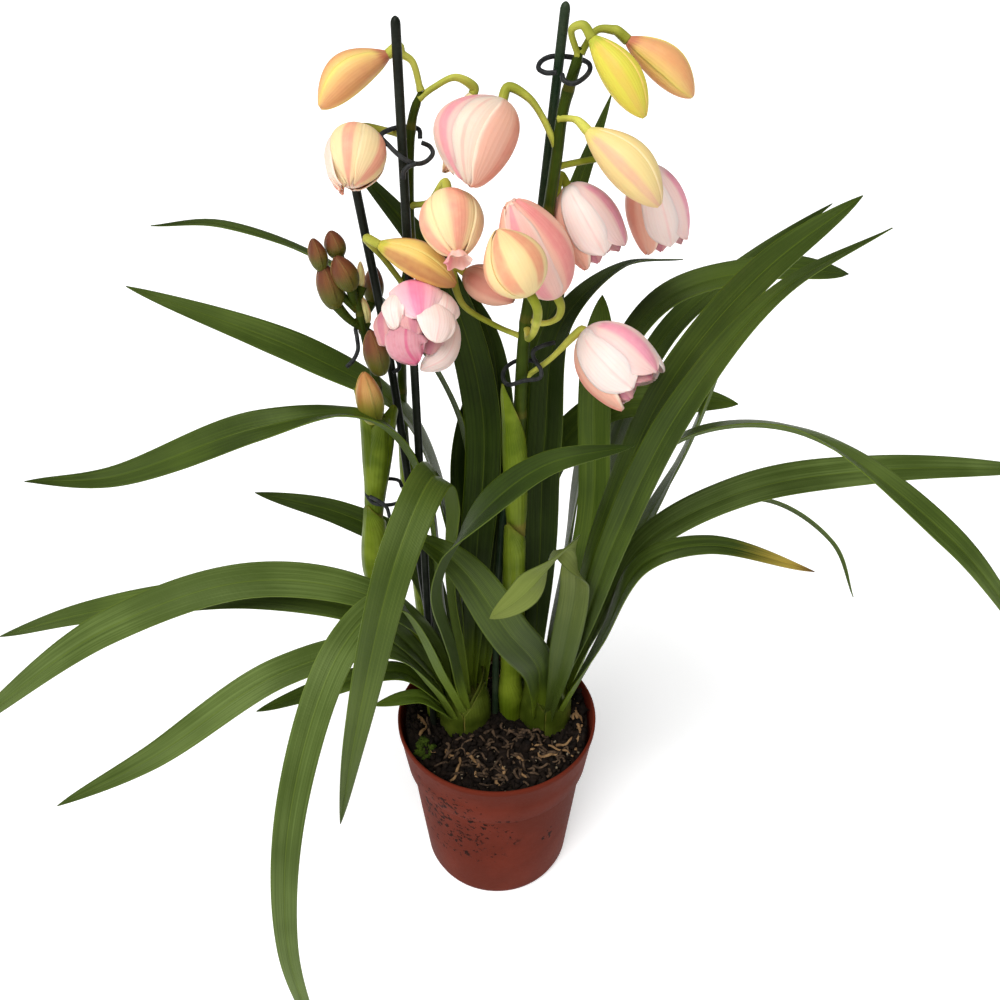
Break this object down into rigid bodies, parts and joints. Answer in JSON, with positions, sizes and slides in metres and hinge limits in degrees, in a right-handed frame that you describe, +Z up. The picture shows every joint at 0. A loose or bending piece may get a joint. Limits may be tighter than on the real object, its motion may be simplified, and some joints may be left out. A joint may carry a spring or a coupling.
{
  "type": "potted cymbidium orchid",
  "caption": "Flowering cymbidium orchid with arching strap leaves, staked stems of buds and blooms, rooted in a round clay-coloured nursery pot.",
  "frame": {"origin": "middle of the flat underside of the pot, on the surface it stands on", "axes": "+Z up along the pot's axis; -Y towards the viewer of the plant's front; +X to the viewer's right, along the longest leaves"},
  "size_m": [0.5907, 0.2524, 0.5122],
  "materials": {
    "leaf_green": "glossy strap leaf, deep green with a paler midrib, natural",
    "leaf_sage": "strap leaf seen from its paler ribbed side",
    "bud_yellow": "waxy closed flower bud, warm yellow with dusky pink edges",
    "bloom_pink": "waxy sepals, salmon pink stripes over cream",
    "bloom_blush": "waxy sepals, pale pink to cream, hot pink edges",
    "stem_green": "fresh flower stem with pale papery sheaths",
    "stake_black": "thin black plastic coating, satin",
    "stake_green": "thin dark green plastic coating, satin",
    "clip_wire": "dark coated wire, satin",
    "bulb_green": "olive bulb under brown papery leaf bases",
    "compost": "dark bark compost with tan roots and moss",
    "pot_clay": "terracotta-coloured moulded plastic, matt, with soil smudges"
  },
  "bodies": {
    "root": {"leaf_back_high_left": "leaf_green", "leaf_mid_left": "leaf_green", "leaf_sabre_left": "leaf_green", "leaf_low_back_left": "leaf_green", "leaf_under_left": "leaf_green", "leaf_over_left": "leaf_green", "leaf_folded_front": "leaf_sage", "leaf_long_front": "leaf_green", "leaf_low_left": "leaf_green", "leaf_cross_front": "leaf_green", "leaf_tall_left": "leaf_green", "leaf_tall_mid": "leaf_green", "leaf_tall_dark": "leaf_green", "leaf_across_left": "leaf_green", "leaf_big_right_back": "leaf_green", "leaf_big_right_front": "leaf_green", "leaf_shade_right": "leaf_green", "leaf_arch_right_back": "leaf_green", "leaf_short_right_back": "leaf_green", "leaf_edge_right": "leaf_green", "leaf_drape_right": "leaf_green", "leaf_level_right": "leaf_green", "leaf_fine_right": "leaf_green", "leaf_burnt_right": "leaf_green", "leaf_tall_right": "leaf_green", "leaf_tallest_back": "leaf_green", "leaf_bent_right_back": "leaf_green", "bud_upper_left": "bud_yellow", "bud_centre_left": "bud_yellow", "bud_top_right": "bud_yellow", "bud_top_middle": "bud_yellow", "bud_right": "bud_yellow", "bloom_centre_front": "bud_yellow", "bloom_top_middle": "bloom_pink", "bloom_top_hidden": "bloom_pink", "bloom_centre_left": "bloom_pink", "bloom_far_right": "bloom_pink", "bloom_centre": "bloom_pink", "bloom_behind": "bloom_pink", "bloom_left": "bloom_blush", "bloom_lower_left": "bloom_blush", "bloom_right": "bloom_blush", "bloom_lower_right": "bloom_blush", "stem_left": "stem_green", "stem_middle": "stem_green", "stem_right": "stem_green", "stake_left": "stake_black", "stake_middle": "stake_black", "stake_right": "stake_green", "clip_middle_top": "clip_wire", "clip_right_top": "clip_wire", "clip_left_upper": "clip_wire", "clip_left_lower": "clip_wire", "clip_right_low": "clip_wire", "bulb_left": "bulb_green", "bulb_right": "bulb_green", "soil": "compost", "pot": "pot_clay"}
  },
  "joints": []
}
